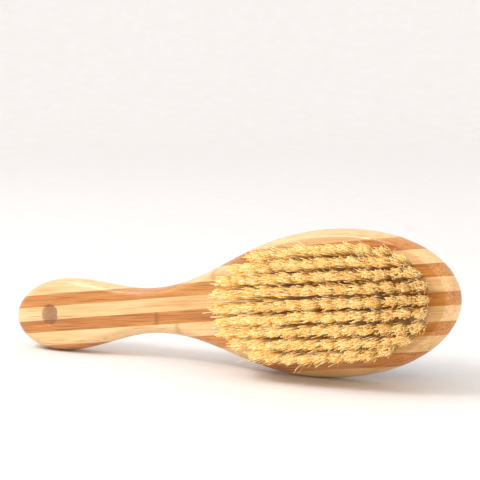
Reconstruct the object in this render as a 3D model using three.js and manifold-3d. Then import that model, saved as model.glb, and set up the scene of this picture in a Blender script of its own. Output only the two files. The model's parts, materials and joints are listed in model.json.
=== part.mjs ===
// A double-sided pet brush, standing on its long edge as it is put down on a table.
// The board is laminated from light and brown bamboo strips. One face holds rows of plant fibre
// tufts, and the other a domed rubber cushion with ball-tipped steel pins.
// Board frame: X from the grip's end to the head's tip, Y through the board (tufts at -Y, pins
// at +Y), Z across it. The last section turns that frame onto the table. Millimetres, +Z up.
import * as THREE from 'three';
import { mergeVertices } from 'three/addons/utils/BufferGeometryUtils.js';
import Module from 'manifold-3d';

const wasm = await Module();
wasm.setup();

// ---- driving dimensions ----
const GAP = 0.3;                 // clearance between pieces that touch
const BOARD_LENGTH = 235;
const BOARD_THICK = 12.8;
const EDGE_DEPTH = 3.5;          // how far the rounded edge bulges past the flat face
const HEAD_WIDTH = 64.9;
const NECK_WIDTH = 21;
const GRIP_WIDTH = 34.7;
const GRIP_X = 28.4;             // where the grip is widest
const NECK_X = 78;               // where the neck is narrowest
const HEAD_TIP = 60.3;           // from the head's widest place to its tip

const HANG_HOLE_X = 22.3;
const HANG_HOLE_D = 9.6;

const LIGHT_STRIP = 6.45;        // width of a natural strip
const BROWN_STRIP = 5.8;         // width of a carbonised strip
const STRIP_SLOPE = THREE.MathUtils.degToRad(1.49);  // the blank's strips against the brush axis
const HEART_X = 228;             // where the middle strip crosses the brush axis

const CUSHION_SIDE = 6.15;       // board left beside the cushion, at the head's widest place
const CUSHION_TIP = 14;          // board left beyond the cushion at the head's tip
const CUSHION_NECK = 50;         // from the neck to the cushion
const CUSHION_RISE = 4;          // how far the dome stands above the board's back
const DOME_POWER = 2.4;          // higher is flatter in the middle and steeper at the rim
const RUBBER = 1.5;
const LIP_DEPTH = 1.2;           // wood between the back and the groove that holds the rim
const GROOVE_HIGH = 1.8;
const GROOVE_DEEP = 1.2;
const VENT_D = 2;

const PIN_LENGTH = 19;           // from the rubber to the end of the ball
const PIN_D = 1;
const BALL_D = 1.9;
const PIN_HEAD_HIGH = 0.6;
const PIN_PITCH = 8.8;           // along a ring
const PIN_RINGS = 4;             // the innermost is a line along the middle
const PIN_BORDER = 4;            // from the cushion's edge to the outer ring
const PIN_SPLAY = THREE.MathUtils.degToRad(21);  // of the outer ring
const CANVAS = 0.5;
const CANVAS_WIDE = 2.6;
const TRAVEL = 3;                // how far the pins sink into the cushion

const TUFT_LENGTH = 20;          // above the face
const TUFT_HOLE_D = 3.2;
const TUFT_PITCH = 6.6;          // along a row
const SIDE_ROWS = 4;             // rows on each side of the middle one
const TUFT_SIDE = 11.85;         // from the head's edge to the outer row's roots
const TUFT_TIP = 12.5;           // from the head's tip to the last root
const TUFT_NECK = 58.5;          // from the neck to the first root
const TUFT_LEAN_END = THREE.MathUtils.degToRad(18);   // outward lean of the end tufts
const TUFT_LEAN_SIDE = THREE.MathUtils.degToRad(8);   // and of the side rows
const TUFT_TIP_LONG = 8.2;       // a tuft's splayed end, along its row
const ROW_CLEAR = 2.4;           // left between the splayed ends of two rows
const ROW_BOW = 0.2;             // how far the outer rows' ends bow in, as a share
const ROW_ROUND = 0.61;          // how much shorter the outer rows are, as a share of the square
const ROW_POWER = 2.2;           // higher keeps more of the inner rows long
const TUFT_FORK = 12;            // height where neighbouring tufts meet
const WEB = 1.6;                 // wood between the tuft holes and the cushion's pocket

// ---- worked out from them ----
const HEAD_X = BOARD_LENGTH - HEAD_TIP;
const FRONT = -BOARD_THICK / 2;
const BACK = BOARD_THICK / 2;
const RIM_LOW = LIP_DEPTH + GROOVE_HIGH;                       // the groove's floor
const POCKET_DEPTH = RIM_LOW + RUBBER / 2 + PIN_HEAD_HIGH + TRAVEL - GAP;
const TUFT_HOLE_DEPTH = BOARD_THICK - POCKET_DEPTH - WEB;

// ---- solids ----
function closed(geometry) {
  const bare = geometry.index ? geometry.toNonIndexed() : geometry.clone();
  bare.deleteAttribute('normal');
  bare.deleteAttribute('uv');
  const merged = mergeVertices(bare, 1e-4);
  const index = merged.index.array;
  const triVerts = [];
  for (let i = 0; i < index.length; i += 3) {
    const [a, b, c] = [index[i], index[i + 1], index[i + 2]];
    if (a !== b && b !== c && c !== a) triVerts.push(a, b, c);
  }
  return new wasm.Manifold(new wasm.Mesh({
    numProp: 3,
    vertProperties: new Float32Array(merged.attributes.position.array),
    triVerts: new Uint32Array(triVerts),
  }));
}

function joined(solids) {
  return solids.reduce((all, one) => all.add(one));
}

function geometryOf(solid) {
  const { vertProperties, triVerts } = solid.getMesh();
  const geometry = new THREE.BufferGeometry();
  geometry.setAttribute('position', new THREE.BufferAttribute(vertProperties, 3));
  geometry.setIndex(new THREE.BufferAttribute(triVerts, 1));
  return geometry;
}

// A solid from rings of points, each ring a closed loop with as many points as the next.
function loft(rings) {
  const n = rings[0].length;
  const outline = rings[0].map((p) => new THREE.Vector2(p.x, p.z));
  const cap = THREE.ShapeUtils.triangulateShape(outline, []);
  const index = [];
  for (let k = 0; k + 1 < rings.length; k++) {
    for (let i = 0; i < n; i++) {
      const [a, b] = [k * n + i, k * n + (i + 1) % n];
      index.push(a, b, a + n, b, b + n, a + n);
    }
  }
  const top = (rings.length - 1) * n;
  for (const [a, b, c] of cap) index.push(a, b, c, top + c, top + b, top + a);
  const geometry = new THREE.BufferGeometry();
  geometry.setFromPoints(rings.flat());
  geometry.setIndex(index);
  return closed(geometry);
}

// ---- the board ----
// Half the outline is four curves: round the grip's end, in to the neck, out to the head, and
// round the head's tip. Each hold is how far a curve keeps its end's direction, as a share.
const HOLD = {
  gripEnd: [0.498, 0.62],
  toNeck: [0.342, 0.308],
  toHead: [0.391, 0.464],
  headTip: [0.637, 0.516],
};

function halfOutline() {
  const at = (x, z) => new THREE.Vector2(x, z);
  const [grip, neck, head] = [GRIP_WIDTH / 2, NECK_WIDTH / 2, HEAD_WIDTH / 2];
  const sway = (x0, z0, x1, z1, [hold0, hold1]) => new THREE.CubicBezierCurve(
    at(x0, z0), at(x0 + hold0 * (x1 - x0), z0), at(x1 - hold1 * (x1 - x0), z1), at(x1, z1));
  const gripEnd = new THREE.CubicBezierCurve(
    at(0, 0), at(0, HOLD.gripEnd[0] * grip), at((1 - HOLD.gripEnd[1]) * GRIP_X, grip),
    at(GRIP_X, grip));
  const headTip = new THREE.CubicBezierCurve(
    at(HEAD_X, head), at(HEAD_X + HOLD.headTip[0] * HEAD_TIP, head),
    at(BOARD_LENGTH, (1 - HOLD.headTip[1]) * head), at(BOARD_LENGTH, 0));
  return [
    [gripEnd, 8],
    [sway(GRIP_X, grip, NECK_X, neck, HOLD.toNeck), 7],
    [sway(NECK_X, neck, HEAD_X, head, HOLD.toHead), 11],
    [headTip, 12],
  ];
}

// The whole outline, each point with its outward direction.
function outline() {
  const half = [];
  for (const [curve, steps] of halfOutline()) {
    for (let i = 0; i < steps; i++) {
      const p = curve.getPoint(i / steps);
      const t = curve.getTangent(i / steps);
      half.push({ x: p.x, z: p.y, nx: -t.y, nz: t.x });
    }
  }
  const far = half.slice(1).reverse().map((p) => ({ x: p.x, z: -p.z, nx: p.nx, nz: -p.nz }));
  return [...half, { x: BOARD_LENGTH, z: 0, nx: 1, nz: 0 }, ...far];
}

// The edge is an arc through the two face corners and the widest line between them.
function edgeInset(y) {
  const radius = (EDGE_DEPTH ** 2 + BACK ** 2) / (2 * EDGE_DEPTH);
  return radius - Math.sqrt(radius ** 2 - y ** 2);
}

function boardBlank() {
  const levels = [FRONT, FRONT / 2, 0, BACK / 2, BACK];
  const loop = outline();
  return loft(levels.map((y) => loop.map((p) => {
    const inset = edgeInset(y);
    return new THREE.Vector3(p.x - p.nx * inset, y, p.z - p.nz * inset);
  })));
}

// ---- the cushion's oval ----
const CUSHION = {
  x: (NECK_X + CUSHION_NECK + BOARD_LENGTH - CUSHION_TIP) / 2,
  long: (BOARD_LENGTH - CUSHION_TIP - NECK_X - CUSHION_NECK) / 2,
  wide: HEAD_WIDTH / 2 - CUSHION_SIDE,
};

const OVAL_SIDES = 32;

// Turns a round shape of radius CUSHION.wide into the oval, with walls as thick all round.
function stretchX(distance) {
  const share = Math.min(distance / CUSHION.wide, 1);
  return (CUSHION.long - CUSHION.wide) * (1 - (1 - share) ** 2);
}

function oval(profile) {
  const points = profile.map(([r, y]) => new THREE.Vector2(r, y));
  const geometry = new THREE.LatheGeometry(points, OVAL_SIDES);
  const position = geometry.attributes.position;
  for (let i = 0; i < position.count; i++) {
    const [x, z] = [position.getX(i), position.getZ(i)];
    const r = Math.hypot(x, z);
    if (r > 1e-6) position.setX(i, x + (x / r) * stretchX(r));
  }
  geometry.translate(CUSHION.x, BACK, 0);
  return closed(geometry);
}

// The radius that a place on the oval had in the round shape, found by halving.
function roundRadius(x, z) {
  let [low, high] = [0, CUSHION.wide];
  for (let i = 0; i < 30; i++) {
    const r = (low + high) / 2;
    const isOutside = (x / (r + stretchX(r))) ** 2 + (z / r) ** 2 > 1;
    if (isOutside) low = r;
    else high = r;
  }
  return high;
}

// Height of the dome's outside above the board's back, at a distance from its middle.
const RIM_R = CUSHION.wide - GAP;
function domeHeight(r) {
  return CUSHION_RISE * (1 - Math.min(r / RIM_R, 1) ** DOME_POWER);
}

function pocket() {
  const [mouth, groove] = [CUSHION.wide, CUSHION.wide + GROOVE_DEEP];
  return oval([
    [0, -POCKET_DEPTH], [mouth, -POCKET_DEPTH], [mouth, -RIM_LOW], [groove, -RIM_LOW],
    [groove, -LIP_DEPTH], [mouth, -LIP_DEPTH], [mouth, 1], [0, 1]]);
}

// ---- where the pins and the tufts stand ----
const PIN_FIELD = { long: CUSHION.long - PIN_BORDER, wide: CUSHION.wide - PIN_BORDER };
const RING_PITCH = PIN_FIELD.wide / (PIN_RINGS - 1);

// A ring's places are evenly spaced along an oval, counted from the size that it has.
function ringPlaces(halfLong, halfWide) {
  if (halfWide < RING_PITCH / 2) {
    const count = Math.max(1, Math.round((2 * halfLong) / PIN_PITCH) + 1);
    const step = count > 1 ? (2 * halfLong) / (count - 1) : 0;
    const first = -(step * (count - 1)) / 2;
    return Array.from({ length: count }, (_, i) => ({ x: first + step * i, z: 0 }));
  }
  const path = new THREE.EllipseCurve(0, 0, halfLong, halfWide);
  const count = Math.round(path.getLength() / PIN_PITCH);
  return path.getSpacedPoints(count).slice(0, count).map((p) => ({ x: p.x, z: p.y }));
}


function pinRings() {
  return Array.from({ length: PIN_RINGS }, (_, i) => (
    ringPlaces(PIN_FIELD.long - i * RING_PITCH, PIN_FIELD.wide - i * RING_PITCH)));
}

// A pin stands square to the dome, so it leans out more the nearer it is to the rim.
function pinPose(place) {
  const radius = roundRadius(place.x, place.z);
  const out = new THREE.Vector2(place.x / PIN_FIELD.long ** 2, place.z / PIN_FIELD.wide ** 2);
  if (out.length() > 0) out.normalize();
  const lean = (PIN_SPLAY * radius) / PIN_FIELD.wide;
  const direction = new THREE.Vector3(
    out.x * Math.sin(lean), Math.cos(lean), out.y * Math.sin(lean));
  const foot = new THREE.Vector3(CUSHION.x + place.x, BACK + domeHeight(radius), place.z);
  return { foot, direction };
}

const TUFTS = {
  x: (NECK_X + TUFT_NECK + BOARD_LENGTH - TUFT_TIP) / 2,
  long: (BOARD_LENGTH - TUFT_TIP - NECK_X - TUFT_NECK) / 2,
  wide: HEAD_WIDTH / 2 - TUFT_SIDE,
};

// Rows run along the head. The outer ones are shorter and bow in a little at their ends.
function rowZ(row, x) {
  const bow = ROW_BOW * (row / SIDE_ROWS) ** 4;
  return (TUFTS.wide * row * (1 - bow * (x / TUFTS.long) ** 2)) / SIDE_ROWS;
}

function tuftRow(row) {
  const shorter = ROW_ROUND * Math.abs(row / SIDE_ROWS) ** ROW_POWER;
  const halfLong = TUFTS.long * Math.sqrt(1 - shorter);
  const gaps = Math.max(1, Math.round((2 * halfLong) / TUFT_PITCH));
  return Array.from({ length: gaps + 1 }, (_, i) => {
    const x = halfLong * ((2 * i) / gaps - 1);
    return { x, z: rowZ(row, x) };
  });
}

function tuftPose(place) {
  const direction = new THREE.Vector3(
    Math.tan(TUFT_LEAN_END) * (place.x / TUFTS.long), -1,
    Math.tan(TUFT_LEAN_SIDE) * (place.z / TUFTS.wide)).normalize();
  return { foot: new THREE.Vector3(TUFTS.x + place.x, FRONT, place.z), direction };
}

// Moves a shape built along an axis, with its foot at the origin, to where it stands.
function stand(geometry, axis, { foot, direction }) {
  geometry.applyQuaternion(new THREE.Quaternion().setFromUnitVectors(axis, direction));
  geometry.translate(foot.x, foot.y, foot.z);
  return closed(geometry);
}

const PIN_SIDES = 5;
const UP = new THREE.Vector3(0, 1, 0);

// ---- pieces ----
const wood = (name, colour) => new THREE.MeshStandardMaterial({
  name, color: colour, roughness: 0.38, metalness: 0 });
const LIGHT_BAMBOO = wood('light_bamboo', 0xf6d49c);
const BROWN_BAMBOO = wood('brown_bamboo', 0xc9833e);
const FIBRE = new THREE.MeshStandardMaterial({
  name: 'plant_fibre', color: 0xe9c987, roughness: 0.8 });
const RUBBER_PAD = new THREE.MeshStandardMaterial({
  name: 'rubber', color: 0x1d1c1b, roughness: 0.6 });
const STEEL = new THREE.MeshStandardMaterial({
  name: 'steel', color: 0xc8ccd0, roughness: 0.2, metalness: 1 });

const board = new THREE.Group();
function place(name, solid, material) {
  const mesh = new THREE.Mesh(geometryOf(solid), material);
  mesh.name = name;
  board.add(mesh);
}

const rings = pinRings();
const rows = [];
for (let row = SIDE_ROWS; row >= -SIDE_ROWS; row--) rows.push(row);

// The blank is drilled for hanging and for every tuft, and routed for the cushion.
function machinedBoard() {
  const through = new THREE.CylinderGeometry(
    HANG_HOLE_D / 2, HANG_HOLE_D / 2, 2 * BOARD_THICK, 24);
  through.translate(HANG_HOLE_X, 0, 0);
  const cuts = [closed(through), pocket()];
  for (const tuft of rows.flatMap(tuftRow).map(tuftPose)) {
    const drill = new THREE.CylinderGeometry(
      TUFT_HOLE_D / 2, TUFT_HOLE_D / 2, TUFT_HOLE_DEPTH + 1, 6);
    drill.translate(0, (TUFT_HOLE_DEPTH - 1) / 2, 0);
    const inward = { foot: tuft.foot, direction: tuft.direction.clone().negate() };
    cuts.push(stand(drill, UP, inward));
  }
  return boardBlank().subtract(joined(cuts));
}

// Strips are counted from the top edge of the head. The sixth runs through the head's tip.
const STRIPS = 11;
const HEART = 6;
const GRIP_STRIPS = [3, 8];      // the outer strips of the grip, which take its whole edge
const FAR = 2 * BOARD_LENGTH;

// Distance from the middle strip's centre line to a strip's middle, and the strip's width.
function stripBand(strip) {
  const steps = HEART - strip;
  const width = strip % 2 ? LIGHT_STRIP : BROWN_STRIP;
  return { middle: (steps * (LIGHT_STRIP + BROWN_STRIP)) / 2, width };
}

function stripCutter(strip) {
  const { middle, width } = stripBand(strip);
  const [first, last] = GRIP_STRIPS;
  const inGrip = strip >= first && strip <= last;
  let [low, high] = [middle - width / 2 + GAP / 2, middle + width / 2 - GAP / 2];
  const slab = (x0, x1, z0, z1) => {
    const box = new THREE.BoxGeometry(x1 - x0, 4 * BOARD_THICK, z1 - z0);
    box.translate((x0 + x1) / 2 - HEART_X, 0, (z0 + z1) / 2);
    box.rotateY(-STRIP_SLOPE);
    box.translate(HEART_X, 0, 0);
    return closed(box);
  };
  if (strip === 1) high = FAR;
  if (strip === STRIPS) low = -FAR;
  const head = slab(inGrip ? -FAR : NECK_X, FAR, low, high);
  if (strip === first) return head.add(slab(-FAR, NECK_X, low, FAR));
  if (strip === last) return head.add(slab(-FAR, NECK_X, -FAR, high));
  return head;
}

function addBoard() {
  const whole = machinedBoard();
  for (let strip = 1; strip <= STRIPS; strip++) {
    const pieces = whole.intersect(stripCutter(strip)).decompose();
    const lengths = pieces.map((piece) => ({ piece, x: piece.boundingBox().min[0] }));
    lengths.sort((a, b) => a.x - b.x);
    lengths.forEach(({ piece }, i) => {
      const end = pieces.length > 1 ? ['_grip', '_head', '_extra'][i] : '';
      place(`strip_${String(strip).padStart(2, '0')}${end}`, piece,
        strip % 2 ? LIGHT_BAMBOO : BROWN_BAMBOO);
    });
  }
}

// One row of tufts, as a comb. Each tooth is one tuft: it fills its drilled hole below the face
// and splays above it, until the fibres of neighbours meet along the row.
const ROOT_HALF = (TUFT_HOLE_D / 2 * Math.cos(Math.PI / 6) - GAP) * Math.SQRT1_2;
function leanX(x, height) {
  return x * (1 + (height * Math.tan(TUFT_LEAN_END)) / TUFTS.long);
}

function combOutline(places) {
  const bottom = -(TUFT_HOLE_DEPTH - GAP - (TUFT_HOLE_D / 2) * Math.sin(TUFT_LEAN_END));
  const under = [];
  const over = [];
  places.forEach(({ x }, i) => {
    for (const [side, height] of [[-1, 0.5], [-1, bottom], [1, bottom], [1, 0.5]]) {
      under.push([leanX(x, height) + side * ROOT_HALF, height]);
    }
    const next = places[i + 1];
    if (next) under.push([leanX((x + next.x) / 2, TUFT_FORK), TUFT_FORK]);
    over.push([leanX(x, TUFT_LENGTH), TUFT_LENGTH]);
  });
  over[0][0] -= TUFT_TIP_LONG / 2;
  over[over.length - 1][0] += TUFT_TIP_LONG / 2;
  return new THREE.Shape([...under, ...over.reverse()].map(([x, h]) => new THREE.Vector2(x, h)));
}

// A row's splayed ends leave the same room to the next row, whatever the rows' pitch.
const TIP_ROW_PITCH = (TUFTS.wide + TUFT_LENGTH * Math.tan(TUFT_LEAN_SIDE)) / SIDE_ROWS;
const TUFT_TIP_WIDE = TIP_ROW_PITCH - ROW_CLEAR;

// The flat comb is thickened towards the tips and bent to the row's bow and lean.
function rowSolid(row) {
  const outline = combOutline(tuftRow(row));
  const comb = new THREE.ExtrudeGeometry(outline, { depth: 2, bevelEnabled: false });
  const position = comb.attributes.position;
  for (let i = 0; i < position.count; i++) {
    const [x, height, side] = [position.getX(i), position.getY(i), position.getZ(i) - 1];
    const z = rowZ(row, x / leanX(1, height));
    const up = Math.max(height, 0) / TUFT_LENGTH;
    const half = ROOT_HALF + (TUFT_TIP_WIDE / 2 - ROOT_HALF) * up;
    position.setXYZ(i, TUFTS.x + x, FRONT - height,
      z * (1 + (height * Math.tan(TUFT_LEAN_SIDE)) / TUFTS.wide) - side * half);
  }
  return closed(comb);
}

function addTufts() {
  rows.forEach((row, i) => {
    place(`tuft_row_${i + 1}`, rowSolid(row), FIBRE);
  });
}

// One ring of pins. Their flat heads are sewn into a band of canvas under the rubber, which
// starts at the band's middle here.
const BAND_HIGH = CANVAS + PIN_HEAD_HIGH;
const BAND_DROP = RUBBER + 2 * GAP + BAND_HIGH / 2;
function pinSolid(pose) {
  const [shank, ball] = [PIN_D / 2, BALL_D / 2];
  const profile = [
    [0, -BAND_DROP], [shank, -BAND_DROP], [shank, PIN_LENGTH - BALL_D], [ball, PIN_LENGTH - ball],
    [0, PIN_LENGTH]];
  const points = profile.map(([r, y]) => new THREE.Vector2(r, y));
  return stand(new THREE.LatheGeometry(points, PIN_SIDES), UP, pose);
}

// The band runs from pin to pin, flat against the underside of the rubber.
function canvasBand(ring) {
  const isLoop = ring.some((p) => p.z !== ring[0].z);
  const sections = ring.map((p) => {
    const { foot, direction } = pinPose(p);
    const middle = foot.clone().addScaledVector(direction, -BAND_DROP);
    const out = new THREE.Vector3(0, 0, -1);
    if (isLoop) out.set(p.x / PIN_FIELD.long, 0, p.z / PIN_FIELD.wide);
    out.addScaledVector(direction, -out.dot(direction)).setLength(CANVAS_WIDE / 2);
    const high = direction.clone().multiplyScalar(BAND_HIGH / 2);
    return [[-1, -1], [1, -1], [1, 1], [-1, 1]].map(([o, h]) => (
      middle.clone().addScaledVector(out, o).addScaledVector(high, h)));
  });
  const index = [];
  const count = sections.length;
  for (let k = 0; k < (isLoop ? count : count - 1); k++) {
    for (let i = 0; i < 4; i++) {
      const [a, b] = [4 * k + i, 4 * k + ((i + 1) % 4)];
      const [c, d] = [4 * ((k + 1) % count) + i, 4 * ((k + 1) % count) + ((i + 1) % 4)];
      index.push(a, b, c, b, d, c);
    }
  }
  const last = 4 * (count - 1);
  if (!isLoop) index.push(0, 2, 1, 0, 3, 2, last, last + 1, last + 2, last, last + 2, last + 3);
  const geometry = new THREE.BufferGeometry().setFromPoints(sections.flat());
  geometry.setIndex(index);
  return closed(geometry);
}

function addPins() {
  rings.forEach((ring, i) => {
    const pins = ring.map(pinPose).map(pinSolid);
    place(`pin_ring_${i + 1}`, joined([...pins, canvasBand(ring)]), STEEL);
  });
}

// The cushion: a dome whose rim turns out into the groove, pierced for each pin and for air.
function addCushion() {
  const steps = 5;
  const outside = [];
  const inside = [];
  for (let i = 0; i <= steps; i++) {
    const r = (RIM_R * i) / steps;
    const fall = Math.atan(domeHeight(r) - domeHeight(r + 1));
    outside.push([r, domeHeight(r)]);
    inside.push([
      Math.max(0, Math.min(r - RUBBER * Math.sin(fall), RIM_R - RUBBER)),
      domeHeight(r) - RUBBER * Math.cos(fall)]);
  }
  const lip = RIM_R + GROOVE_DEEP;
  const profile = [
    ...inside, [RIM_R - RUBBER, -RIM_LOW + GAP], [lip, -RIM_LOW + GAP], [lip, -LIP_DEPTH - GAP],
    [RIM_R, -LIP_DEPTH - GAP], ...outside.reverse()];
  const holes = rings.flat().map(pinPose).map((pose) => {
    const hole = new THREE.CylinderGeometry(
      PIN_D / 2 + GAP, PIN_D / 2 + GAP, 3 * RUBBER, PIN_SIDES);
    hole.translate(0, -RUBBER / 2, 0);
    return stand(hole, UP, pose);
  });
  const vent = new THREE.CylinderGeometry(VENT_D / 2, VENT_D / 2, 2 * CUSHION_RISE, 8);
  vent.translate(CUSHION.x - CUSHION.long / 2, BACK + CUSHION_RISE / 2, RING_PITCH / 2);
  place('cushion', oval(profile).subtract(joined([...holes, closed(vent)])), RUBBER_PAD);
}

addBoard();
addTufts();
addPins();
addCushion();

// ---- how it stands ----
// The brush rests on three places: the grip's edge, the head's edge and the lowest pin balls.
// The plane through them is the table. Each is found again as the table's tilt settles.
function tableUp() {
  const edge = outline().flatMap((p) => [0, 0.1, 0.2, 0.3, 0.4].map((share) => {
    const y = share * BACK;
    const inset = edgeInset(y);
    return new THREE.Vector3(p.x - p.nx * inset, y, p.z - p.nz * inset);
  }));
  const balls = rings[0].map(pinPose).map(({ foot, direction }) => (
    foot.clone().addScaledVector(direction, PIN_LENGTH - BALL_D / 2)));
  const lowest = (points, up) => points.reduce((a, b) => (b.dot(up) < a.dot(up) ? b : a));
  const up = new THREE.Vector3(0, 0, 1);
  for (let i = 0; i < 30; i++) {
    const grip = lowest(edge.filter((p) => p.x < NECK_X), up);
    const head = lowest(edge.filter((p) => p.x > NECK_X), up);
    const ball = lowest(balls, up).clone().addScaledVector(up, -BALL_D / 2);
    up.crossVectors(head.clone().sub(grip), ball.sub(grip)).normalize();
    if (up.z < 0) up.negate();
  }
  return up;
}

const up = tableUp();
const along = new THREE.Vector3(1, 0, 0).addScaledVector(up, -up.x).normalize();
const away = new THREE.Vector3().crossVectors(up, along);
const turn = new THREE.Matrix4().makeBasis(along, away, up).transpose();
board.applyMatrix4(turn);

const brush = new THREE.Group();
brush.add(board);
brush.updateMatrixWorld(true);
const size = new THREE.Box3().setFromObject(brush, true);
board.position.sub(new THREE.Vector3(
  (size.min.x + size.max.x) / 2, (size.min.y + size.max.y) / 2, size.min.z));
brush.updateMatrixWorld(true);

export default brush;
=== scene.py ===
# A double-sided pet brush of laminated bamboo, standing on its long edge on a pale table.
import json
import math
import random

import bmesh
import bpy
from mathutils import Matrix, Quaternion, Vector


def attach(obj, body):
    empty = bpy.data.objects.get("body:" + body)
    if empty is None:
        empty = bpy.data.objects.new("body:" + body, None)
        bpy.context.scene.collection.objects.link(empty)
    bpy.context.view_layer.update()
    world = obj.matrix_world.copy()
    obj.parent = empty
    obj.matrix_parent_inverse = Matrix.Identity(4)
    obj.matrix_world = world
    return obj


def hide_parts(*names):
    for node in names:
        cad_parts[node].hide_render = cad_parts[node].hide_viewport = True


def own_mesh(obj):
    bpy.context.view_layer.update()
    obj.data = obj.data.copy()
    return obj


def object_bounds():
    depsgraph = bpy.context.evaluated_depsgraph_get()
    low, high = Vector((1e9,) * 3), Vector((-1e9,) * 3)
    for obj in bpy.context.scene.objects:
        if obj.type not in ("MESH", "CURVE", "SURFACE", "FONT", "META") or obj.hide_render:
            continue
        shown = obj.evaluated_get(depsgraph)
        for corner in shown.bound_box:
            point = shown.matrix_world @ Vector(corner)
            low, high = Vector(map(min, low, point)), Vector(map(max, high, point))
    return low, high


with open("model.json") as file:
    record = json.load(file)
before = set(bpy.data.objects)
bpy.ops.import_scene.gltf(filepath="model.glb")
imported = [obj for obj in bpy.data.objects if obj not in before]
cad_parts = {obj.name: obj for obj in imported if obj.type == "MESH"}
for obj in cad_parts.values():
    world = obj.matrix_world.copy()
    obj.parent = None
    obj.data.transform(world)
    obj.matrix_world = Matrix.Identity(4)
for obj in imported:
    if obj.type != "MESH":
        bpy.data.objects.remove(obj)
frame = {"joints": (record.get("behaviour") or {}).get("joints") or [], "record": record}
cad_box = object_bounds()

# ---- The bamboo board ----
# The board is glued up from light and brown bamboo strips, band-sawn to a paddle, rounded over
# all round its edge and lacquered. Its frame has X from the grip's end to the head's tip, Y
# through it towards the pins, and Z across it. Sizes are in millimetres until it is stood up.
BOARD_LENGTH = 235.0
BOARD_THICK = 12.8
EDGE_DEPTH = 3.5                       # how far the rounded edge bulges past the flat face
EASED = 0.35                           # sanding off the corner where the edge meets a face
HEAD_WIDTH, NECK_WIDTH, GRIP_WIDTH = 64.9, 21.0, 34.7
GRIP_X, NECK_X, HEAD_X = 28.4, 78.0, 174.7
# How far each curve of the outline keeps the direction of its two ends, as shares.
GRIP_END, TO_NECK, TO_HEAD, HEAD_TIP = (0.498, 0.62), (0.342, 0.308), (0.391, 0.464), (0.637, 0.516)
EDGE_RINGS = (5.4, 4.4, 3.2, 1.8, 0.6)  # depths of the rings of points round the edge
FRONT, BACK = -BOARD_THICK / 2, BOARD_THICK / 2
MARK = Vector((50.0, BACK, -4.6))      # where the record's grip_back point lies on the board
MM = 0.001

pins_move = Vector(frame["joints"][0]["axis"]).normalized()
grip_back = next(m for m in frame["record"]["mounts"] if m["name"] == "grip_back")
along_x = pins_move.cross(Vector((0, 1, 0))).normalized()
if along_x.x < 0:
    along_x.negate()
turn = Matrix((along_x, -pins_move, along_x.cross(-pins_move))).transposed()
origin = Vector(grip_back["pos_m"]) - turn @ (MARK * MM)
stand_up = Matrix.Translation(origin) @ turn.to_4x4() @ Matrix.Scale(MM, 4)


def bezier(a, b, c, d, steps):
    """Points along one curve, each with the direction square to it."""
    found = []
    for i in range(steps):
        t = i / steps
        s = 1 - t
        x, z = (s**3 * a[k] + 3 * s * s * t * b[k] + 3 * s * t * t * c[k] + t**3 * d[k]
                for k in (0, 1))
        dx, dz = (s * s * (b[k] - a[k]) + 2 * s * t * (c[k] - b[k]) + t * t * (d[k] - c[k])
                  for k in (0, 1))
        length = math.hypot(dx, dz)
        found.append((x, z, -dz / length, dx / length))
    return found


def board_outline():
    """The widest line round the board, each point with its outward direction."""
    grip, neck, head = GRIP_WIDTH / 2, NECK_WIDTH / 2, HEAD_WIDTH / 2
    to_neck, to_head, to_tip = NECK_X - GRIP_X, HEAD_X - NECK_X, BOARD_LENGTH - HEAD_X
    upper = bezier((0, 0), (0, GRIP_END[0] * grip), ((1 - GRIP_END[1]) * GRIP_X, grip),
                   (GRIP_X, grip), 24)
    upper += bezier((GRIP_X, grip), (GRIP_X + TO_NECK[0] * to_neck, grip),
                    (NECK_X - TO_NECK[1] * to_neck, neck), (NECK_X, neck), 20)
    upper += bezier((NECK_X, neck), (NECK_X + TO_HEAD[0] * to_head, neck),
                    (HEAD_X - TO_HEAD[1] * to_head, head), (HEAD_X, head), 36)
    upper += bezier((HEAD_X, head), (HEAD_X + HEAD_TIP[0] * to_tip, head),
                    (BOARD_LENGTH, (1 - HEAD_TIP[1]) * head), (BOARD_LENGTH, 0), 36)
    lower = [(x, -z, nx, -nz) for x, z, nx, nz in reversed(upper[1:])]
    return upper + [(BOARD_LENGTH, 0, 1, 0)] + lower


def edge_inset(y):
    """How far inside the widest line the edge is, at a depth in the board."""
    radius = (EDGE_DEPTH**2 + BACK**2) / (2 * EDGE_DEPTH)
    return radius - math.sqrt(radius**2 - y * y)


def fill_openings(bm):
    """Closes every open loop with one face, and turns all faces outwards."""
    rims = [e for e in bm.edges if e.is_boundary]
    bmesh.ops.holes_fill(bm, edges=rims, sides=0)
    bmesh.ops.recalc_face_normals(bm, faces=bm.faces)


def board_blank():
    """The rounded board as one closed solid, swept from its front face to its back."""
    loop = board_outline()
    levels = [(BACK, EDGE_DEPTH + EASED), (BACK - 0.12 * EASED, EDGE_DEPTH + 0.3 * EASED)]
    levels += [(y, edge_inset(y)) for y in (BACK - 0.7 * EASED, *EDGE_RINGS)]
    levels = [(-y, inset) for y, inset in levels] + levels[::-1]
    bm = bmesh.new()
    y, inset = levels[0]
    face = bm.faces.new([bm.verts.new((x - nx * inset, y, z - nz * inset))
                         for x, z, nx, nz in loop])
    for y, inset in levels[1:]:
        face = bmesh.ops.extrude_discrete_faces(bm, faces=[face])["faces"][0]
        for vert, (x, z, nx, nz) in zip(face.verts, loop):
            vert.co = (x - nx * inset, y, z - nz * inset)
    fill_openings(bm)
    return bm


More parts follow.
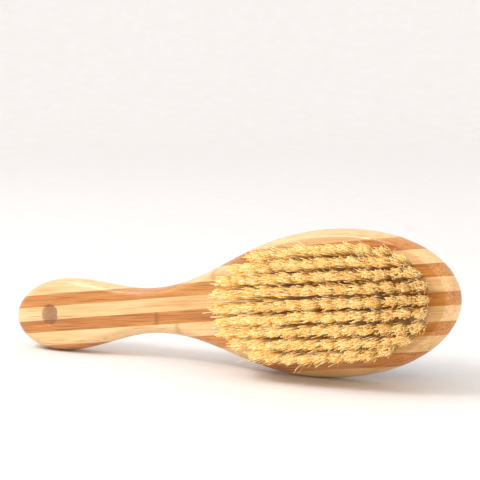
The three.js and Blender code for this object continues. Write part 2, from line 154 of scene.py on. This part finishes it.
def spun(bm, profile, steps, place=Matrix.Identity(4)):
    """Adds a shape turned about the Y axis from points (radius, height), then put in place."""
    verts = [bm.verts.new((r, y, 0)) for r, y in profile]
    edges = [bm.edges.new(pair) for pair in zip(verts, verts[1:])]
    before = set(bm.verts) - set(verts)
    bmesh.ops.spin(bm, geom=verts + edges, cent=(0, 0, 0), axis=(0, 1, 0), angle=math.tau,
                   steps=steps, use_merge=True)
    new = [v for v in bm.verts if v not in before]
    bmesh.ops.remove_doubles(bm, verts=new, dist=1e-4)
    new = [v for v in bm.verts if v not in before]
    bmesh.ops.recalc_face_normals(bm, faces=list({f for v in new for f in v.link_faces}))
    bmesh.ops.transform(bm, matrix=place, verts=new)
    return new


# ---- The routed pocket, the hanging hole and the drilled tuft holes ----
# The back is routed to an oval pocket with an undercut groove for the cushion's rim. The grip is
# drilled through and lightly countersunk. Each tuft has its own hole, drilled the way it leans.
CUSHION_SIDE, CUSHION_TIP, CUSHION_NECK = 6.15, 14.0, 50.0
CUSHION_X = (NECK_X + CUSHION_NECK + BOARD_LENGTH - CUSHION_TIP) / 2
CUSHION_LONG = (BOARD_LENGTH - CUSHION_TIP - NECK_X - CUSHION_NECK) / 2
CUSHION_WIDE = HEAD_WIDTH / 2 - CUSHION_SIDE
OVAL_STEPS = 72
POCKET_DEPTH, LIP_DEPTH, GROOVE_FLOOR, GROOVE_DEEP = 7.05, 1.2, 3.0, 1.2
HOLE_X, HOLE_D, COUNTERSINK = 22.3, 9.6, 0.45
DRILL_PAST = 1                         # how far the tufts' drill starts outside the board
TUFT_LENGTH, TUFT_HOLE_D, TUFT_HOLE_DEPTH = 20.0, 3.2, 4.15
TUFT_PITCH, SIDE_ROWS, ROW_BOW, ROW_ROUND, ROW_POWER = 6.6, 4, 0.2, 0.61, 2.2
TUFT_SIDE, TUFT_TIP, TUFT_NECK = 11.85, 12.5, 58.5
TUFT_X = (NECK_X + TUFT_NECK + BOARD_LENGTH - TUFT_TIP) / 2
TUFT_LONG = (BOARD_LENGTH - TUFT_TIP - NECK_X - TUFT_NECK) / 2
TUFT_WIDE = HEAD_WIDTH / 2 - TUFT_SIDE
LEAN_END, LEAN_SIDE = math.tan(math.radians(18)), math.tan(math.radians(8))


def widen(distance):
    """How much longer than wide the cushion's oval is, at a distance in from its rim."""
    share = min(distance / CUSHION_WIDE, 1)
    return (CUSHION_LONG - CUSHION_WIDE) * (1 - (1 - share)**2)


def oval(bm, profile):
    """Adds a turned shape, drawn out along X to the cushion's oval and set on the back."""
    for vert in spun(bm, profile, OVAL_STEPS):
        r = math.hypot(vert.co.x, vert.co.z)
        if r > 1e-6:
            vert.co.x *= 1 + widen(r) / r
        vert.co += Vector((CUSHION_X, BACK, 0))


def tuft_row(row):
    """Where one row's tufts stand and the way each leans. The outer rows bow in at their ends."""
    outer = abs(row / SIDE_ROWS)
    half = TUFT_LONG * math.sqrt(1 - ROW_ROUND * outer**ROW_POWER)
    gaps = max(1, round(2 * half / TUFT_PITCH))
    found = []
    for i in range(gaps + 1):
        x = half * (2 * i / gaps - 1)
        bow = ROW_BOW * outer**4 * (x / TUFT_LONG)**2
        z = TUFT_WIDE * row / SIDE_ROWS * (1 - bow)
        lean = Vector((LEAN_END * x / TUFT_LONG, -1, LEAN_SIDE * z / TUFT_WIDE))
        found.append((Vector((TUFT_X + x, FRONT, z)), lean))
    return found


def carve(bm, cutter):
    """Takes one solid out of another."""
    pair = []
    for solid in (bm, cutter):
        mesh = bpy.data.meshes.new("carving")
        solid.to_mesh(mesh)
        pair.append(bpy.data.objects.new("carving", mesh))
        bpy.context.scene.collection.objects.link(pair[-1])
    cut = pair[0].modifiers.new("cut", "BOOLEAN")
    cut.object = pair[1]
    cut.solver = "EXACT"
    left = pair[0].evaluated_get(bpy.context.evaluated_depsgraph_get()).to_mesh()
    bm.clear()
    bm.from_mesh(left)
    for piece in pair:
        bpy.data.meshes.remove(piece.data)
    cutter.free()


rows = [tuft_row(row) for row in range(SIDE_ROWS, -SIDE_ROWS - 1, -1)]
blank = board_blank()
cutter = bmesh.new()
oval(cutter, [(0, -POCKET_DEPTH), (CUSHION_WIDE, -POCKET_DEPTH), (CUSHION_WIDE, -GROOVE_FLOOR),
              (CUSHION_WIDE + GROOVE_DEEP, -GROOVE_FLOOR),
              (CUSHION_WIDE + GROOVE_DEEP, -LIP_DEPTH), (CUSHION_WIDE, -LIP_DEPTH),
              (CUSHION_WIDE, 1), (0, 1)])
carve(blank, cutter)
cutter = bmesh.new()
mouth = HOLE_D / 2 + 2 * COUNTERSINK
spun(cutter, [(0, FRONT - COUNTERSINK), (mouth, FRONT - COUNTERSINK),
              (HOLE_D / 2, FRONT + COUNTERSINK), (HOLE_D / 2, BACK - COUNTERSINK),
              (mouth, BACK + COUNTERSINK), (0, BACK + COUNTERSINK)], 48,
     Matrix.Translation((HOLE_X, 0, 0)))
carve(blank, cutter)
cutter = bmesh.new()
for foot, lean in [tuft for row in rows for tuft in row]:
    tilt = Vector((0, 0, 1)).rotation_difference(lean).to_matrix().to_4x4()
    middle = foot - lean.normalized() * (TUFT_HOLE_DEPTH - DRILL_PAST) / 2
    bmesh.ops.create_cone(cutter, cap_ends=True, segments=12, radius1=TUFT_HOLE_D / 2,
                          radius2=TUFT_HOLE_D / 2, depth=TUFT_HOLE_DEPTH + DRILL_PAST,
                          matrix=Matrix.Translation(middle) @ tilt)
carve(blank, cutter)

# ---- The bamboo strips ----
# Natural bamboo is cream and carbonised bamboo is brown all through. The strips are glued side
# by side, so each runs through the board's whole thickness and shows on both faces and the edge.
LIGHT_WIDE, BROWN_WIDE = 6.45, 5.8
SLOPE = math.radians(1.49)             # of the strips against the brush's long middle line
HEART_X, HEART = 228.0, 6              # where the middle strip crosses that line
GLUE = 0.02
STRIPS = {
    "strip_01": (1, None, None), "strip_02": (2, None, None),
    "strip_03_grip": (3, None, NECK_X), "strip_03_head": (3, NECK_X, None),
    "strip_04": (4, None, None),
    "strip_05_grip": (5, None, HOLE_X), "strip_05_head": (5, HOLE_X, None),
    "strip_06": (6, None, None), "strip_07": (7, None, None),
    "strip_08_grip": (8, None, NECK_X), "strip_08_head": (8, NECK_X, None),
    "strip_09": (9, None, None), "strip_10": (10, None, None), "strip_11": (11, None, None),
}
OUTER_AT_GRIP = {"strip_03_grip": 1, "strip_08_grip": -1}
NOT_AT_GRIP = (1, 2, 9, 10, 11)


def srgb(code):
    """A colour written as sRGB hex, as linear numbers with alpha."""
    parts = [int(code[i:i + 2], 16) / 255 for i in (0, 2, 4)]
    return [p / 12.92 if p <= 0.04045 else ((p + 0.055) / 1.055)**2.4 for p in parts] + [1]


def feed(node, sockets):
    """Gives each named socket its value, or links it to another node's output."""
    for name, value in sockets.items():
        if isinstance(value, bpy.types.NodeSocket):
            node.id_data.links.new(value, node.inputs[name])
        else:
            node.inputs[name].default_value = value


def add(tree, kind, sockets, **settings):
    """Adds a node and gives back its first output."""
    node = tree.nodes.new(kind)
    for name, value in settings.items():
        setattr(node, name, value)
    feed(node, sockets)
    return node.outputs[0]


def ramp(tree, value, stops):
    """Colours, or greys, at places between 0 and 1."""
    node = tree.nodes.new("ShaderNodeValToRGB")
    while len(node.color_ramp.elements) < len(stops):
        node.color_ramp.elements.new(1)
    for element, (at, colour) in zip(node.color_ramp.elements, stops):
        element.position = at
        element.color = srgb(colour)
    feed(node, {"Fac": value})
    return node.outputs["Color"]


def new_material(name):
    """A material with one principled shader, and the shader."""
    material = bpy.data.materials.new(name)
    material.use_nodes = True
    return material, material.node_tree, material.node_tree.nodes["Principled BSDF"]


def on_board(tree):
    """Places on the board in millimetres."""
    coordinates = tree.nodes.new("ShaderNodeTexCoord").outputs["Object"]
    return add(tree, "ShaderNodeMapping", {
        "Vector": coordinates, "Location": origin, "Rotation": turn.to_euler(),
        "Scale": (MM, MM, MM)}, vector_type="TEXTURE")


def drawn_out(tree, place, scale):
    """Places drawn out by a scale for each direction."""
    return add(tree, "ShaderNodeVectorMath", {0: place, 1: scale}, operation="MULTIPLY")


def written(tree, name):
    """A number written on the mesh."""
    node = tree.nodes.new("ShaderNodeAttribute")
    node.attribute_name = name
    return node.outputs["Fac"]


def write(piece, name, value):
    """Writes one number on every point of a piece."""
    layer = piece.data.attributes.new(name, "FLOAT", "POINT")
    layer.data.foreach_set("value", [value] * len(piece.data.vertices))


def cut_off(bm, point, side):
    """Takes away what lies on that side of a plane."""
    bmesh.ops.bisect_plane(bm, geom=bm.verts[:] + bm.edges[:] + bm.faces[:], dist=1e-5,
                           plane_co=point, plane_no=side, clear_outer=True)


def finished(name, bm, material, body, sharp=math.radians(28)):
    """Stands a piece up in its place and gives it its finish and its body."""
    for face in bm.faces:
        face.smooth = True
    for edge in bm.edges:
        flat = [abs(face.normal.y) > 0.99999 for face in edge.link_faces]
        edge.smooth = edge.calc_face_angle(0) < sharp and sum(flat) != 1
    bmesh.ops.transform(bm, matrix=stand_up, verts=bm.verts)
    mesh = bpy.data.meshes.new(name)
    bm.to_mesh(mesh)
    bm.free()
    piece = bpy.data.objects.new(name, mesh)
    bpy.context.scene.collection.objects.link(piece)
    mesh.materials.append(material)
    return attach(piece, body)


def bamboo(name, pale, middle, deep, bundle):
    """Bamboo under a satin lacquer. Its colour runs in long streaks between fibre bundles."""
    material, tree, shader = new_material(name)
    ply = written(tree, "ply")
    shift = add(tree, "ShaderNodeCombineXYZ", {"X": ply, "Z": ply})
    place = add(tree, "ShaderNodeVectorMath", {
        0: shift, 1: (310, 1, 77), 2: on_board(tree)}, operation="MULTIPLY_ADD")
    # Streaks are about 1 mm wide and 30 mm long. They show as faint lines on the flat face.
    streak = add(tree, "ShaderNodeTexNoise", {
        "Vector": drawn_out(tree, place, (0.03, 1, 1)), "Scale": 1.1, "Detail": 4,
        "Roughness": 0.6})
    cloud = add(tree, "ShaderNodeTexNoise", {
        "Vector": drawn_out(tree, place, (0.02, 0.2, 0.2)), "Scale": 1, "Detail": 2})
    tone = add(tree, "ShaderNodeMath", {0: streak, 1: 0.62}, operation="MULTIPLY")
    tone = add(tree, "ShaderNodeMath", {0: cloud, 1: 0.38, 2: tone}, operation="MULTIPLY_ADD")
    tone = add(tree, "ShaderNodeMath", {0: ply, 1: 0.10, 2: tone}, operation="MULTIPLY_ADD")
    colour = ramp(tree, tone, [(0.34, deep), (0.53, middle), (0.72, pale)])
    # Fibre bundles are dark rods 0.4 mm thick, 1 mm apart. They run on as lines along the flat
    # face and end as a stipple of dots where the rounded edge cuts across them.
    rods = add(tree, "ShaderNodeTexVoronoi", {
        "Vector": drawn_out(tree, place, (0.03, 1, 1)), "Scale": 1.05})
    rods = add(tree, "ShaderNodeMapRange", {
        "Value": rods, "From Min": 0.14, "From Max": 0.30, "To Min": 1, "To Max": 0})
    rods = add(tree, "ShaderNodeMath", {0: rods, 1: 0.5}, operation="MULTIPLY")
    # A node of the cane crosses a strip as a short darker band with a ragged edge.
    along = tree.nodes.new("ShaderNodeSeparateXYZ")
    feed(along, {"Vector": on_board(tree)})
    ragged = add(tree, "ShaderNodeTexNoise", {"Vector": place, "Scale": 0.5, "Detail": 3})
    ragged = add(tree, "ShaderNodeMath", {0: ragged, 1: 5, 2: along.outputs["X"]},
                 operation="MULTIPLY_ADD")
    off = add(tree, "ShaderNodeMath", {0: ragged, 1: written(tree, "node_x")},
              operation="SUBTRACT")
    off = add(tree, "ShaderNodeMath", {0: off}, operation="ABSOLUTE")
    band = add(tree, "ShaderNodeMapRange", {
        "Value": off, "From Min": 0.2, "From Max": 2.4, "To Min": 0.4, "To Max": 0},
        interpolation_type="SMOOTHSTEP")
    dark = add(tree, "ShaderNodeMath", {0: rods, 1: band}, operation="MAXIMUM")
    colour = add(tree, "ShaderNodeMixRGB", {
        "Fac": dark, "Color1": colour, "Color2": srgb(bundle)})
    raised = add(tree, "ShaderNodeMath", {0: streak, 1: dark}, operation="SUBTRACT")
    feed(shader, {
        "Base Color": colour, "Roughness": 0.42, "Specular IOR Level": 0.4,
        "Coat Weight": 0.55, "Coat Roughness": 0.16,
        "Normal": add(tree, "ShaderNodeBump", {
            "Height": raised, "Strength": 0.25, "Distance": 0.00006})})
    return material


# The natural strips are cream with honey streaks, and read as the pale lines of the lamination.
natural = bamboo("natural_bamboo_satin_lacquer", "F5D29C", "EBBF82", "D59E5A", "B07538")
# The carbonised strips are caramel with darker brown streaks.
carbonised = bamboo("carbonised_bamboo_satin_lacquer", "DC9C50", "C67E3A", "8E4C1C", "6A3414")
NODE_X = {"strip_06": 87.3, "strip_07": 98.8, "strip_03_head": 119.0, "strip_09": 203.0}
tone = random.Random(5)
slope_up = Vector((-math.sin(SLOPE), 0, math.cos(SLOPE)))
for name, (strip, first_x, last_x) in STRIPS.items():
    middle = (HEART - strip) * (LIGHT_WIDE + BROWN_WIDE) / 2
    half = (LIGHT_WIDE if strip % 2 else BROWN_WIDE) / 2 - GLUE / 2
    heart = Vector((HEART_X, 0, 0))
    piece = blank.copy()
    if strip > 1 and OUTER_AT_GRIP.get(name) != 1:
        cut_off(piece, heart + slope_up * (middle + half), slope_up)
    if strip < len(set(n for n, _, _ in STRIPS.values())) and OUTER_AT_GRIP.get(name) != -1:
        cut_off(piece, heart + slope_up * (middle - half), -slope_up)
    if first_x or strip in NOT_AT_GRIP:
        cut_off(piece, Vector((first_x or NECK_X, 0, 0)), Vector((-1, 0, 0)))
    if last_x:
        cut_off(piece, Vector((last_x, 0, 0)), Vector((1, 0, 0)))
    fill_openings(piece)
    piece = finished("bamboo_" + name, piece, natural if strip % 2 else carbonised, "body")
    write(piece, "ply", tone.random())
    write(piece, "node_x", NODE_X.get(name, -100))
    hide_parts(name)
blank.free()

# ---- The tufts ----
# Each tuft is a bundle of stiff straw-coloured plant fibres, folded over and stapled into its
# hole, then trimmed level. The bundle splays on its way up until it meets its neighbours. A real
# tuft has more and finer fibres, of about 0.25 mm. They are drawn fewer and thicker to show.
FIBRES = 125
FIBRE_D = 0.33
SPLAY_LONG, SPLAY_WIDE = 3.55, 2.0     # how far the outermost fibres end from the tuft's middle
STRAYS, STRAY = 0.1, 2.4               # the share of fibres that stand out, and how far
TRIM, TRIM_UNEVEN, TRIM_ROUND = -0.3, 0.6, 1.2
# How far along the row and across it a tuft's tips, one fibre's tip and its middle wander.
TUFT_SWAY, FIBRE_SWAY, FIBRE_BEND = (0.5, 0.3), (0.8, 0.55), (0.45, 0.3)
ROOT_R = TUFT_HOLE_D / 2 - 0.2
straw, tree, shader = new_material("straw_plant_fibre")
# Each fibre has its own straw tone, from honey to nearly white, and is painted browner near its
# root as painted shade where the tufts crowd together.
tint = ramp(tree, written(tree, "tint"), [
    (0, "C48C34"), (0.3, "E8C064"), (0.65, "F9E3A2"), (1, "FFF9E2")])
height = tree.nodes.new("ShaderNodeSeparateXYZ")
feed(height, {"Vector": on_board(tree)})
# Painted shade: the fibres are mixed towards brown near the board, unevenly, for the shade deep
# inside the tufts.
painted_root_shade = add(tree, "ShaderNodeMapRange", {
    "Value": height.outputs["Y"], "From Min": FRONT - 0.8 * TUFT_LENGTH, "From Max": FRONT,
    "To Min": 0, "To Max": 0.6})
mottle = add(tree, "ShaderNodeTexNoise", {"Vector": on_board(tree), "Scale": 0.8, "Detail": 3})
painted_root_shade = add(tree, "ShaderNodeMath", {0: painted_root_shade, 1: mottle}, operation="MULTIPLY")
tint = add(tree, "ShaderNodeMixRGB", {
    "Fac": painted_root_shade, "Color1": tint, "Color2": srgb("B8702A")})
# The outer halves are painted with a faint glow, strongest at the tips: painted light in place of
# the light that passes from fibre to fibre many times over.
glow = add(tree, "ShaderNodeMapRange", {
    "Value": height.outputs["Y"], "From Min": FRONT - 1.02 * TUFT_LENGTH,
    "From Max": FRONT - 0.6 * TUFT_LENGTH, "To Min": 0.34, "To Max": 0.04})
feed(shader, {
    "Base Color": tint, "Roughness": 0.5, "Specular IOR Level": 0.35,
    "Emission Color": tint, "Emission Strength": glow})


def fibre_row(tufts, rng):
    """One row's fibres as thin tapered rods, each bent a little its own way."""
    curve = bpy.data.curves.new("fibres", "CURVE")
    curve.dimensions = "3D"
    curve.bevel_depth = FIBRE_D / 2
    curve.bevel_resolution = 0
    curve.use_fill_caps = True
    for foot, lean in tufts:
        whole = Vector((rng.gauss(0, TUFT_SWAY[0]), 0, rng.gauss(0, TUFT_SWAY[1])))
        for _ in range(FIBRES):
            angle, out = rng.uniform(0, math.tau), math.sqrt(rng.random())
            dx, dz = out * math.cos(angle), out * math.sin(angle)
            root = foot + Vector((dx * ROOT_R, 0.4, dz * ROOT_R))
            length = TUFT_LENGTH + rng.gauss(TRIM, TRIM_UNEVEN) - TRIM_ROUND * out * out
            tip = foot + lean * length + whole + Vector((
                dx * SPLAY_LONG + rng.gauss(0, FIBRE_SWAY[0]), 0,
                dz * SPLAY_WIDE + rng.gauss(0, FIBRE_SWAY[1])))
            if rng.random() < STRAYS:
                tip += Vector((rng.gauss(0, STRAY), 0, rng.gauss(0, STRAY / 2)))
            bend = Vector((rng.gauss(0, FIBRE_BEND[0]), 0, rng.gauss(0, FIBRE_BEND[1])))
            line = curve.splines.new("POLY")
            line.points.add(3)
            points = []
            for share in (0, 0.3, 0.68, 1):
                points += [*(root.lerp(tip, share) + bend * (1 - share) * share * 4), 1]
            line.points.foreach_set("co", points)
            line.points.foreach_set("radius", [1, 1, 0.95, 0.75])
    holder = bpy.data.objects.new("fibres", curve)
    bpy.context.scene.collection.objects.link(holder)
    mesh = bpy.data.meshes.new_from_object(
        holder.evaluated_get(bpy.context.evaluated_depsgraph_get()))
    bm = bmesh.new()
    bm.from_mesh(mesh)
    bpy.data.curves.remove(curve)
    bpy.data.meshes.remove(mesh)
    layer = bm.verts.layers.float.new("tint")
    each = len(bm.verts) // (FIBRES * len(tufts))
    for i, vert in enumerate(bm.verts):
        if i % each == 0:
            tone = min(max(rng.gauss(0.52, 0.3), 0), 1)
        vert[layer] = tone
    return bm


for i, tufts in enumerate(rows):
    piece = fibre_row(tufts, random.Random(i + 1))
    piece = finished(f"fibre_row_{i + 1}", piece, straw, "body")
    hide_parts(f"tuft_row_{i + 1}")

# ---- The pins ----
# Each pin is bright steel wire with a round tip. Its flat head is held by a sheet of canvas, and
# both are hidden under the rubber and left out here. The pins stand in oval rings and lean out
# more the nearer they are to the rim.
RUBBER = 1.5
PIN_LENGTH, PIN_D, BALL_D = 19.0, 1.0, 1.9
PIN_PITCH, PIN_RINGS, PIN_BORDER = 8.8, 4, 4.0
PIN_SPLAY = math.radians(21)
CUSHION_RISE, DOME_POWER = 4.0, 2.4
RIM_R = CUSHION_WIDE - 0.3
PIN_FOOT = RUBBER + 1.15               # how far a pin reaches below the dome's outside
FIELD_LONG, FIELD_WIDE = CUSHION_LONG - PIN_BORDER, CUSHION_WIDE - PIN_BORDER
RING_PITCH = FIELD_WIDE / (PIN_RINGS - 1)
# Bright steel is grey with soft reflections, broken up a little by the marks of drawing. These
# are drawn about 0.2 mm wide, coarser than real ones.
steel, tree, shader = new_material("bright_steel_wire")
drawn = add(tree, "ShaderNodeTexNoise", {
    "Vector": drawn_out(tree, on_board(tree), (3, 0.3, 3)), "Scale": 2, "Detail": 4})
feed(shader, {
    "Base Color": ramp(tree, drawn, [(0.3, "B4B7BC"), (0.7, "D8DADD")]), "Metallic": 1,
    "Roughness": add(tree, "ShaderNodeMapRange", {"Value": drawn, "To Min": 0.1, "To Max": 0.36})})


def ring_places(long, wide):
    """Evenly spaced places round an oval, or along a line where the oval is too narrow."""
    if wide < RING_PITCH / 2:
        count = max(1, round(2 * long / PIN_PITCH) + 1)
        step = 2 * long / (count - 1) if count > 1 else 0
        return [(step * (i - (count - 1) / 2), 0) for i in range(count)]
    fine = [(long * math.cos(a), wide * math.sin(a))
            for a in (math.tau * i / 800 for i in range(801))]
    lengths = [0]
    for (x0, z0), (x1, z1) in zip(fine, fine[1:]):
        lengths.append(lengths[-1] + math.hypot(x1 - x0, z1 - z0))
    count = round(lengths[-1] / PIN_PITCH)
    places, k = [], 0
    for i in range(count):
        while lengths[k] < lengths[-1] * i / count:
            k += 1
        places.append(fine[k])
    return places


def dome_height(r):
    return CUSHION_RISE * (1 - min(r / RIM_R, 1)**DOME_POWER)


def round_radius(x, z):
    """The radius that a place on the oval had before the shape was drawn out, by halving."""
    low, high = 0, CUSHION_WIDE
    for _ in range(30):
        r = (low + high) / 2
        if (x / (r + widen(r)))**2 + (z / r)**2 > 1:
            low = r
        else:
            high = r
    return high


def pin_pose(x, z):
    """A pin's foot on the dome and the way it points."""
    radius = round_radius(x, z)
    lean = PIN_SPLAY * radius / FIELD_WIDE
    out = Vector((x / FIELD_LONG**2, 0, z / FIELD_WIDE**2))
    if out.length > 0:
        out.normalize()
    way = out * math.sin(lean) + Vector((0, math.cos(lean), 0))
    return Vector((CUSHION_X + x, BACK + dome_height(radius), z)), way


rings = [[pin_pose(x, z)
          for x, z in ring_places(FIELD_LONG - i * RING_PITCH, FIELD_WIDE - i * RING_PITCH)]
         for i in range(PIN_RINGS)]
for i, ring in enumerate(rings):
    bm = bmesh.new()
    for foot, way in ring:
        tilt = Vector((0, 1, 0)).rotation_difference(way).to_matrix().to_4x4()
        shank, ball = PIN_D / 2, BALL_D / 2
        tip = [(ball * math.sin(a), PIN_LENGTH - ball + ball * math.cos(a))
               for a in (math.radians(d) for d in (148, 125, 100, 75, 50, 25, 0))]
        spun(bm, [(0, -PIN_FOOT), (shank, -PIN_FOOT), (shank, PIN_LENGTH - BALL_D)] + tip, 10,
             Matrix.Translation(foot) @ tilt)
    piece = finished(f"steel_pins_{i + 1}", bm, steel, "pin_field", math.radians(60))
    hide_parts(f"pin_ring_{i + 1}")

# ---- The cushion ----
# The cushion is a moulded black rubber dome. Its rim turns out into the board's groove, and it
# has a raised ring where each pin comes through and one small hole that lets air out.
VENT_D = 2.0
BOSS_D, BOSS_HIGH = 2.8, 0.45
# Matt black rubber is a little greyer where it is dusty. Its skin's grain is drawn 0.3 mm wide,
# coarser than the real one.
black_rubber, tree, shader = new_material("moulded_black_rubber")
skin = add(tree, "ShaderNodeTexNoise", {"Vector": on_board(tree), "Scale": 3, "Detail": 5})
dust = add(tree, "ShaderNodeTexNoise", {"Vector": on_board(tree), "Scale": 0.09, "Detail": 4})
feed(shader, {
    "Base Color": ramp(tree, dust, [(0.35, "171615"), (0.7, "2A2927")]),
    "Roughness": add(tree, "ShaderNodeMapRange", {"Value": dust, "To Min": 0.45, "To Max": 0.7}),
    "Normal": add(tree, "ShaderNodeBump", {
        "Height": skin, "Strength": 0.3, "Distance": 0.00005})})
dome = [(RIM_R * i / 12, dome_height(RIM_R * i / 12)) for i in range(13)]
under = [(max(0, min(r, RIM_R - RUBBER)), y - RUBBER) for r, y in dome]
rim = RIM_R + GROOVE_DEEP
bm = bmesh.new()
oval(bm, under + [(RIM_R - RUBBER, -GROOVE_FLOOR + 0.2), (rim, -GROOVE_FLOOR + 0.2),
                  (rim, -LIP_DEPTH - 0.2), (RIM_R, -LIP_DEPTH - 0.2)] + dome[::-1])
cutter = bmesh.new()
vent = Matrix.Translation((CUSHION_X - CUSHION_LONG / 2, BACK, RING_PITCH / 2))
spun(cutter, [(0, -RUBBER), (VENT_D / 2, -RUBBER), (VENT_D / 2, 2 * CUSHION_RISE),
              (0, 2 * CUSHION_RISE)], 20, vent)
carve(bm, cutter)
hug, wide = PIN_D / 2 + 0.04, BOSS_D / 2
for foot, way in [pin for ring in rings for pin in ring]:
    tilt = Vector((0, 1, 0)).rotation_difference(way).to_matrix().to_4x4()
    spun(bm, [(hug, -0.8), (wide, -0.8), (wide, 0.4 * BOSS_HIGH), (0.85 * wide, 0.8 * BOSS_HIGH),
              (0.6 * wide, BOSS_HIGH), (hug, 0.8 * BOSS_HIGH), (hug, -0.8)], 14,
         Matrix.Translation(foot) @ tilt)
cushion = finished("rubber_cushion", bm, black_rubber, "body", math.radians(50))
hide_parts("cushion")
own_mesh(cushion)

# ---- The table ----
# A seamless white sweep, flat where the brush stands and curving up far behind it all round.
FLAT_R, SWEEP_R, SWEEP_TOP = 1.3, 0.9, 1.6
bm = bmesh.new()
turned = [(FLAT_R + SWEEP_R * math.sin(a), SWEEP_R * (1 - math.cos(a)))
          for a in (math.radians(d) for d in range(0, 91, 6))]
profile = [(0, 0), (0.4, 0)] + turned + [(FLAT_R + SWEEP_R, SWEEP_TOP)]
points = spun(bm, profile, 96)
bmesh.ops.transform(bm, matrix=Matrix.Rotation(math.pi / 2, 4, "X"), verts=points)
bmesh.ops.recalc_face_normals(bm, faces=bm.faces)
for face in bm.faces:
    face.smooth = True
    if face.normal.dot(Vector((0, 0, 1)) - face.calc_center_median()) < 0:
        face.normal_flip()
mesh = bpy.data.meshes.new("table")
bm.to_mesh(mesh)
bm.free()
table = bpy.data.objects.new("table", mesh)
bpy.context.scene.collection.objects.link(table)
# White paper scatters all light evenly, and glows a little away from the brush so that it goes
# off into plain white.
sweep, tree, shader = new_material("white_paper_sweep")
place = tree.nodes.new("ShaderNodeTexCoord").outputs["Object"]
pulp = add(tree, "ShaderNodeTexNoise", {"Vector": place, "Scale": 60, "Detail": 3})
reach = tree.nodes.new("ShaderNodeVectorMath")
reach.operation = "LENGTH"
feed(reach, {0: place})
glow = add(tree, "ShaderNodeMapRange", {
    "Value": reach.outputs["Value"], "From Min": 0.5, "From Max": FLAT_R + SWEEP_R,
    "To Min": 0, "To Max": 0.09})
feed(shader, {
    "Base Color": ramp(tree, pulp, [(0.2, "EEEAE8"), (0.8, "F2EFED")]),
    "Roughness": 0.9, "Specular IOR Level": 0.1, "Emission Strength": glow})
mesh.materials.append(sweep)

# ---- The light ----
# A bright white room, a soft panel overhead on the left, a larger and weaker one on the right,
# and a long tube over the brush that draws a faint line along the lacquered top edge.
world = bpy.data.worlds.new("white_room")
bpy.context.scene.world = world
world.use_nodes = True
world.node_tree.nodes["Background"].inputs["Color"].default_value = srgb("FFFFFF")
world.node_tree.nodes["Background"].inputs["Strength"].default_value = 0.92
middle = (cad_box[0] + cad_box[1]) / 2


def panel(name, place, long, high, power):
    """A soft panel that faces the brush's middle."""
    light = bpy.data.objects.new(name, bpy.data.lights.new(name, "AREA"))
    light.data.shape = "RECTANGLE"
    light.data.size = long
    light.data.size_y = high
    light.data.energy = power
    light.location = middle + Vector(place)
    light.rotation_euler = (middle - light.location).to_track_quat("-Z", "Y").to_euler()
    bpy.context.scene.collection.objects.link(light)


panel("key", (-0.5, -0.7, 1.0), 0.35, 0.35, 5)
panel("fill", (0.9, -0.6, 0.6), 0.8, 0.8, 2)
panel("tube", (-0.65, -0.3, 1.0), 1.1, 0.12, 3)
bpy.context.scene.view_settings.view_transform = "Standard"

# ---- The camera ----
# It stands to the right of the tufts' side and a little above, and looks past the brush's top.
AIM = Vector((0.00729, 0.00325, 0.02497))
AZIMUTH, ELEVATION, DISTANCE = math.radians(31.35), math.radians(7.03), 0.7643
ROLL = math.radians(-0.98)
camera = bpy.data.objects.new("camera", bpy.data.cameras.new("camera"))
bpy.context.scene.collection.objects.link(camera)
camera.data.sensor_width = 36
camera.data.lens = 126.79
back = Vector((math.sin(AZIMUTH) * math.cos(ELEVATION),
               -math.cos(AZIMUTH) * math.cos(ELEVATION), math.sin(ELEVATION)))
camera.location = middle + AIM + back * DISTANCE
level = (-back).to_track_quat("-Z", "Y")
camera.rotation_euler = (level @ Quaternion((0, 0, 1), ROLL)).to_euler()
bpy.context.scene.camera = camera
